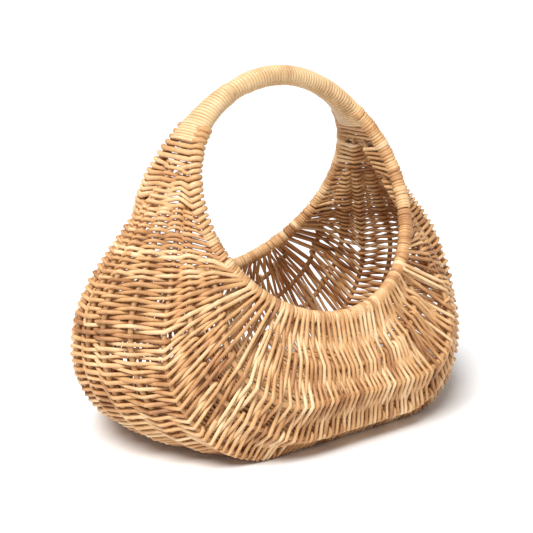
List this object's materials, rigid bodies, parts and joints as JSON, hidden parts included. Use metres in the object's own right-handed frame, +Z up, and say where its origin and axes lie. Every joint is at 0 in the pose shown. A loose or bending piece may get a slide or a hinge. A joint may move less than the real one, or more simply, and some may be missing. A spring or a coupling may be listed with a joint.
{
  "type": "egg collection basket",
  "caption": "Willow frame basket of gondola shape with two rim hoops bound into a fixed arched handle, bent ribs and close woven walls, for collecting eggs.",
  "frame": {"origin": "on the ground, under the middle of the basket", "axes": "+X along the basket and its handle, -Y the front, +Z up"},
  "size_m": [0.453, 0.2842, 0.3516],
  "materials": {
    "weave": "satin",
    "rods": "satin",
    "lapping": "satin"
  },
  "bodies": {
    "root": {"back_belly_rib": "rods", "back_belly_weave": "weave", "back_chine_rib": "rods", "back_inner_bottom_rib": "rods", "back_inner_bottom_weave": "weave", "back_left_shoulder_weave": "weave", "back_lower_side_rib": "rods", "back_lower_side_weave": "weave", "back_middle_bottom_weave": "weave", "back_outer_bottom_rib": "rods", "back_outer_bottom_weave": "weave", "back_right_shoulder_weave": "weave", "back_rim_hoop": "rods", "back_upper_side_rib": "rods", "back_upper_side_weave": "weave", "front_belly_rib": "rods", "front_belly_weave": "weave", "front_chine_rib": "rods", "front_inner_bottom_rib": "rods", "front_inner_bottom_weave": "weave", "front_left_shoulder_weave": "weave", "front_lower_side_rib": "rods", "front_lower_side_weave": "weave", "front_middle_bottom_weave": "weave", "front_outer_bottom_rib": "rods", "front_outer_bottom_weave": "weave", "front_right_shoulder_weave": "weave", "front_rim_hoop": "rods", "front_upper_side_rib": "rods", "front_upper_side_weave": "weave", "handle_left_end_lapping": "lapping", "handle_left_lapping": "lapping", "handle_lower_filler_rod": "rods", "handle_right_end_lapping": "lapping", "handle_top_left_lapping": "lapping", "handle_top_right_lapping": "lapping", "handle_upper_filler_rod": "rods", "keel_rib": "rods"}
  },
  "joints": []
}
